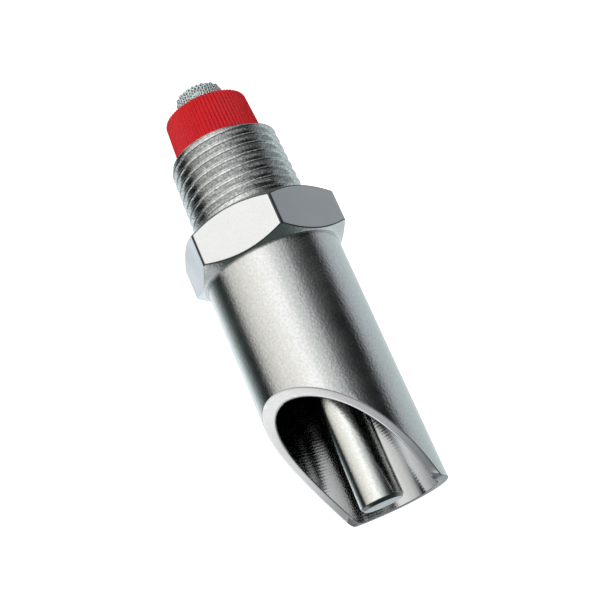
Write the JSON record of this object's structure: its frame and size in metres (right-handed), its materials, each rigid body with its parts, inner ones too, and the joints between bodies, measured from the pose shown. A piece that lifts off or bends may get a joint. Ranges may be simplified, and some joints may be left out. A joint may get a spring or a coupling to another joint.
{
  "type": "pig bite drinker",
  "caption": "Steel bite valve for livestock: tapered pipe thread, hexagon, barrel with an oblique open mouth round a bite pin, ribbed red inlet collar and gauze thimble.",
  "frame": {"origin": "centre of the hexagon's upper face, where the pipe thread ends", "axes": "+Z along the axis towards the inlet, -Y towards the side on which the oblique mouth opens"},
  "size_m": [0.0266, 0.0306, 0.0831],
  "materials": {
    "body_steel": "brushed",
    "pin_steel": "turned",
    "spring_steel": "drawn wire",
    "gauze_steel": "woven wire",
    "red_plastic": "semi-gloss",
    "seal_rubber": "matt"
  },
  "bodies": {
    "body": {"drinker_body": "body_steel", "seat_seal": "seal_rubber"},
    "spring": {"valve_spring": "spring_steel"},
    "pin": {"valve_pin": "pin_steel"},
    "screen": {"filter_screen": "gauze_steel"},
    "plug": {"regulator_plug": "red_plastic"}
  },
  "joints": [
    {"name": "valve_lift", "type": "slide", "parent": "body", "child": "spring", "axis": [0, 0, 1], "range_m": [0, 0.002], "stiffness_N_per_m": 800, "springref_m": -0.004, "deforming": ["valve_spring"]},
    {"name": "pin_tilt", "type": "hinge", "parent": "spring", "child": "pin", "pos_m": [0.0007, -0.0063, -0.003], "axis": [1, 0, 0], "range_deg": [0, 6], "stiffness_Nm_per_rad": 0.036, "springref_deg": -34.38},
    {"name": "screen_rise", "type": "slide", "parent": "body", "child": "screen", "axis": [0, 0, 1], "range_m": [0, 0.002]},
    {"name": "regulator_turn", "type": "hinge", "parent": "screen", "child": "plug", "pos_m": [0, 0, 0], "axis": [0, 0, 1], "range_deg": [0, 720]}
  ],
  "couplings": [
    {"joint": "screen_rise", "follows": "regulator_turn", "m_per_rad": 0.00015915}
  ]
}
